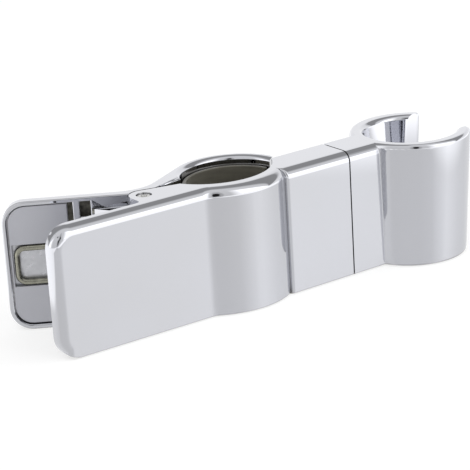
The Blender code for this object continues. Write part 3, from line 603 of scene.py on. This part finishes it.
bpy.ops.object.select_all(action="DESELECT")
bpy.ops.mesh.primitive_cylinder_add(vertices=PIN_SIDES, radius=pin_size.x / 2 + PIN_SWELL,
                                    depth=pin_size.z, location=pin_middle)
pin = bpy.context.object
pin.name = "hinge_pin_ground"
bpy.ops.object.transform_apply(location=True, rotation=True, scale=True)
bpy.ops.object.mode_set(mode="EDIT")
bpy.ops.mesh.select_mode(type="FACE")
bpy.ops.mesh.select_all(action="DESELECT")
bpy.ops.object.mode_set(mode="OBJECT")
for face in pin.data.polygons:
    face.select = abs(face.normal.z) > 0.9
bpy.ops.object.mode_set(mode="EDIT")
bpy.ops.mesh.bevel(offset=PIN_CHAMFER, segments=2, affect="EDGES")
bpy.ops.mesh.select_all(action="DESELECT")
bpy.ops.object.mode_set(mode="OBJECT")
for face in pin.data.polygons:
    face.select = abs(face.normal.z) > 0.99
bpy.ops.object.mode_set(mode="EDIT")
bpy.ops.mesh.inset(thickness=pin_size.x / 4)
bpy.ops.mesh.inset(thickness=pin_size.x / 12, depth=-PIN_DIMPLE)
bpy.ops.object.mode_set(mode="OBJECT")
smooth(pin)
fit(pin, ground_steel("ground_pin", (1.0, 1.0, 0.05)), "arm", "steel", "hinge_pin")

# The double torsion spring is one length of nickel-plated wire: a loop that lies on the
# rear paddle, two coils round the pin, and two legs that lie on the front panel.
WIRE = (0.33, 0.325, 0.27)
WIRE_RADIUS = 0.00075
COIL_TURNS = 2
COIL_GAP = 0.0002
COIL_ROOM = 0.0003
LOOP_REACH = 0.03395
LOOP_HALF = 0.00465
LOOP_BEND = 0.0021
BEND_STEPS = 10
STRAIGHT_STEPS = 12
TURN_STEPS = 96
LEG_REACH = 0.0195
LEG_BACK = -0.00398


def spring_wire():
    """Drawn wire with a dull nickel plate: faint lines along it and a warm grey tone."""
    made, tree, shader, place = coat("spring_wire", WIRE, 0.3, 1.0)
    shades(tree, shader, clouds(tree, place, 700.0, 4.0), tuple(v * 0.8 for v in WIRE),
           tuple(v * 1.2 for v in WIRE))
    haze(tree, shader, clouds(tree, place, 1800.0, 3.0), 0.22, 0.4)
    relief(tree, shader, clouds(tree, place, 4200.0, 2.0), 0.00001)
    return made


hinge = Vector((pin_middle.x, pin_middle.y))
coil_radius = pin_size.x / 2 + COIL_ROOM + WIRE_RADIUS
way = Vector((cos(pi - SPREAD), sin(pi - SPREAD)))
out = Vector((sin(SPREAD), cos(SPREAD)))
leg = Vector((-LEG_REACH, LEG_BACK))
leg_turn = atan2(leg.y, leg.x) + pi / 2 - asin(coil_radius / leg.length)
coil_turn = pi / 2 - SPREAD - leg_turn + 2 * pi * COIL_TURNS
coil_rise = (2 * WIRE_RADIUS + COIL_GAP) * coil_turn / (2 * pi)
half = []
for k in range(BEND_STEPS + 1):
    angle = k * pi / 2 / BEND_STEPS
    flat = way * (LOOP_REACH - LOOP_BEND * (1 - cos(angle))) + out * coil_radius
    half.append(Vector((flat.x, flat.y, LOOP_HALF - LOOP_BEND * (1 - sin(angle)))))
straight = half[-1]
begin = out * coil_radius
for k in range(1, STRAIGHT_STEPS):
    half.append(straight.lerp(Vector((begin.x, begin.y, LOOP_HALF)), k / STRAIGHT_STEPS))
for k in range(TURN_STEPS + 1):
    angle = pi / 2 - SPREAD - coil_turn * k / TURN_STEPS
    half.append(Vector((coil_radius * cos(angle), coil_radius * sin(angle),
                        LOOP_HALF + coil_rise * k / TURN_STEPS)))
last = half[-1]
for k in range(1, STRAIGHT_STEPS + 1):
    half.append(last.lerp(Vector((leg.x, leg.y, last.z)), k / STRAIGHT_STEPS))
path = [Vector((p.x, p.y, -p.z)) for p in reversed(half)] + half
curve = bpy.data.curves.new("spring_wire_path", "CURVE")
curve.dimensions = "3D"
curve.bevel_depth = WIRE_RADIUS
curve.bevel_resolution = 6
curve.use_fill_caps = True
spline = curve.splines.new("POLY")
spline.points.add(len(path) - 1)
for point, place in zip(spline.points, path):
    point.co = (place.x + hinge.x, place.y + hinge.y, place.z + pin_middle.z, 1.0)
spring = bpy.data.objects.new("torsion_spring_wire", curve)
bpy.context.scene.collection.objects.link(spring)
bpy.ops.object.select_all(action="DESELECT")
bpy.context.view_layer.objects.active = spring
spring.select_set(True)
bpy.ops.object.convert(target="MESH")
spring = bpy.context.object
bpy.ops.object.mode_set(mode="EDIT")
bpy.ops.mesh.select_all(action="SELECT")
bpy.ops.mesh.remove_doubles(threshold=1e-6)
bpy.ops.mesh.normals_make_consistent(inside=False)
bpy.ops.object.mode_set(mode="OBJECT")
smooth(spring, 50.0)
spring.data.materials.clear()
spring.data.materials.append(spring_wire())
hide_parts("torsion_spring")
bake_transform(spring)

# The handset holder is the third plated moulding: a neck with a spigot that turns inside
# the arm, and a tapered cup with an open mouth for the hose.
holder = copied("handset_holder_plated", "handset_holder")
soften(holder, PLATED_EDGE)
fit(holder, chrome, "holder", "chromed_body", "handset_holder")

# A thin plated plug is pressed into the cup's wall. It hides the head of the pivot screw.
cap = copied("screw_cap_plated", "screw_cap")
soften(cap, PLATED_EDGE)
fit(cap, chrome, "holder", "chromed_body", "screw_cap")

# The swivel is held by a screw in a brass insert, with a flat and a wave washer under its
# head and a rubber ring that gives the joint its friction. All of it is out of sight.
BRASS = (0.62, 0.44, 0.17)
BLACK_RUBBER = (0.022, 0.022, 0.023)
TURNED_EDGE = 0.00008


def turned_brass():
    """Turned brass with fine rings left by the tool."""
    made, tree, shader, place = coat("turned_brass", BRASS, 0.3, 1.0)
    rings = clouds(tree, place, 2400.0, 3.0, (1.0, 0.08, 0.08))
    shades(tree, shader, rings, tuple(v * 0.85 for v in BRASS), tuple(v * 1.1 for v in BRASS))
    haze(tree, shader, rings, 0.22, 0.38)
    relief(tree, shader, rings, 0.00001)
    return made


def ring_rubber():
    """Black nitrile rubber, matt with a faint bloom."""
    made, tree, shader, place = coat("ring_rubber", BLACK_RUBBER, 0.6, 0.0)
    shades(tree, shader, clouds(tree, place, 900.0, 4.0), tuple(v * 0.7 for v in BLACK_RUBBER),
           tuple(v * 1.8 for v in BLACK_RUBBER))
    haze(tree, shader, clouds(tree, place, 1600.0, 3.0), 0.5, 0.7)
    relief(tree, shader, clouds(tree, place, 5000.0, 3.0), 0.00001)
    return made


hardware_steel = ground_steel("turned_steel", (1.0, 0.06, 0.06))
brass = turned_brass()
black = ring_rubber()
for source, finish, slot in (("pivot_screw", hardware_steel, "steel"),
                             ("flat_washer", hardware_steel, "steel"),
                             ("wave_washer", hardware_steel, "steel"),
                             ("threaded_insert", brass, "brass"),
                             ("friction_ring", black, "black_rubber")):
    piece = copied(source + "_finished", source)
    soften(piece, TURNED_EDGE)
    fit(piece, finish, "arm", slot, source)
